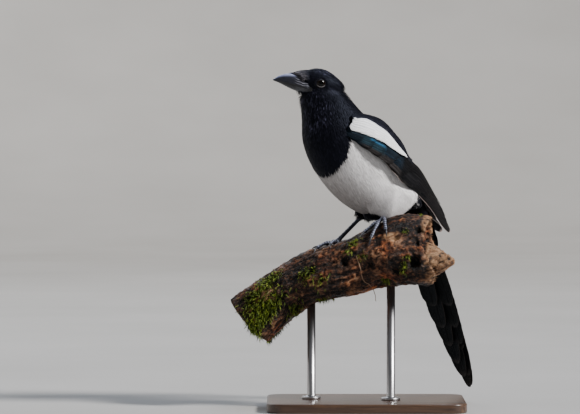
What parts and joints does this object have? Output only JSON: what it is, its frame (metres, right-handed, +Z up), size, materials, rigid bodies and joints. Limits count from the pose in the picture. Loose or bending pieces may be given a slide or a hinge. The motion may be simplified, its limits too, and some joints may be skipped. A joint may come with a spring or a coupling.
{
  "type": "eurasian magpie",
  "caption": "Life-size still model of a black and white crow-like bird with a long tail, gripping a cut length of old branch that rods hold over a flat base.",
  "frame": {"origin": "middle of the base's underside", "axes": "+Z up; +X to the right and +Y away as the picture sees it; the bird faces -X and 36 degrees towards -Y"},
  "size_m": [0.2615, 0.1577, 0.3615],
  "materials": {
    "black_plumage": "soft black body feathers with a faint blue-violet sheen",
    "white_plumage": "soft white body and shoulder feathers",
    "wing_gloss": "glossy black flight feathers with a teal and blue sheen",
    "tail_gloss": "glossy black tail feathers with a dark green sheen",
    "bill_horn": "slate black horn, softly polished",
    "eye": "wet dark brown",
    "leg_scale": "blackish scales with a slate highlight",
    "bark": "rough damp bark with worn bare wood",
    "base_wood": "dark satin varnish",
    "rod_metal": "brushed"
  },
  "bodies": {
    "root": {"head": "black_plumage", "neck": "black_plumage", "breast": "black_plumage", "back": "black_plumage", "thigh_left": "black_plumage", "thigh_right": "black_plumage", "belly": "white_plumage", "scapular_left": "white_plumage", "scapular_right": "white_plumage", "wing_left": "wing_gloss", "wing_right": "wing_gloss", "tail": "tail_gloss", "bill_upper": "bill_horn", "bill_lower": "bill_horn", "claw_left_1": "bill_horn", "claw_left_2": "bill_horn", "claw_left_3": "bill_horn", "claw_left_4": "bill_horn", "claw_right_1": "bill_horn", "claw_right_2": "bill_horn", "claw_right_3": "bill_horn", "claw_right_4": "bill_horn", "eye_left": "eye", "eye_right": "eye", "tarsus_left": "leg_scale", "tarsus_right": "leg_scale", "foot_left": "leg_scale", "foot_right": "leg_scale", "perch": "bark", "stand_base": "base_wood", "stand_rod_1": "rod_metal", "stand_rod_2": "rod_metal"}
  },
  "joints": []
}
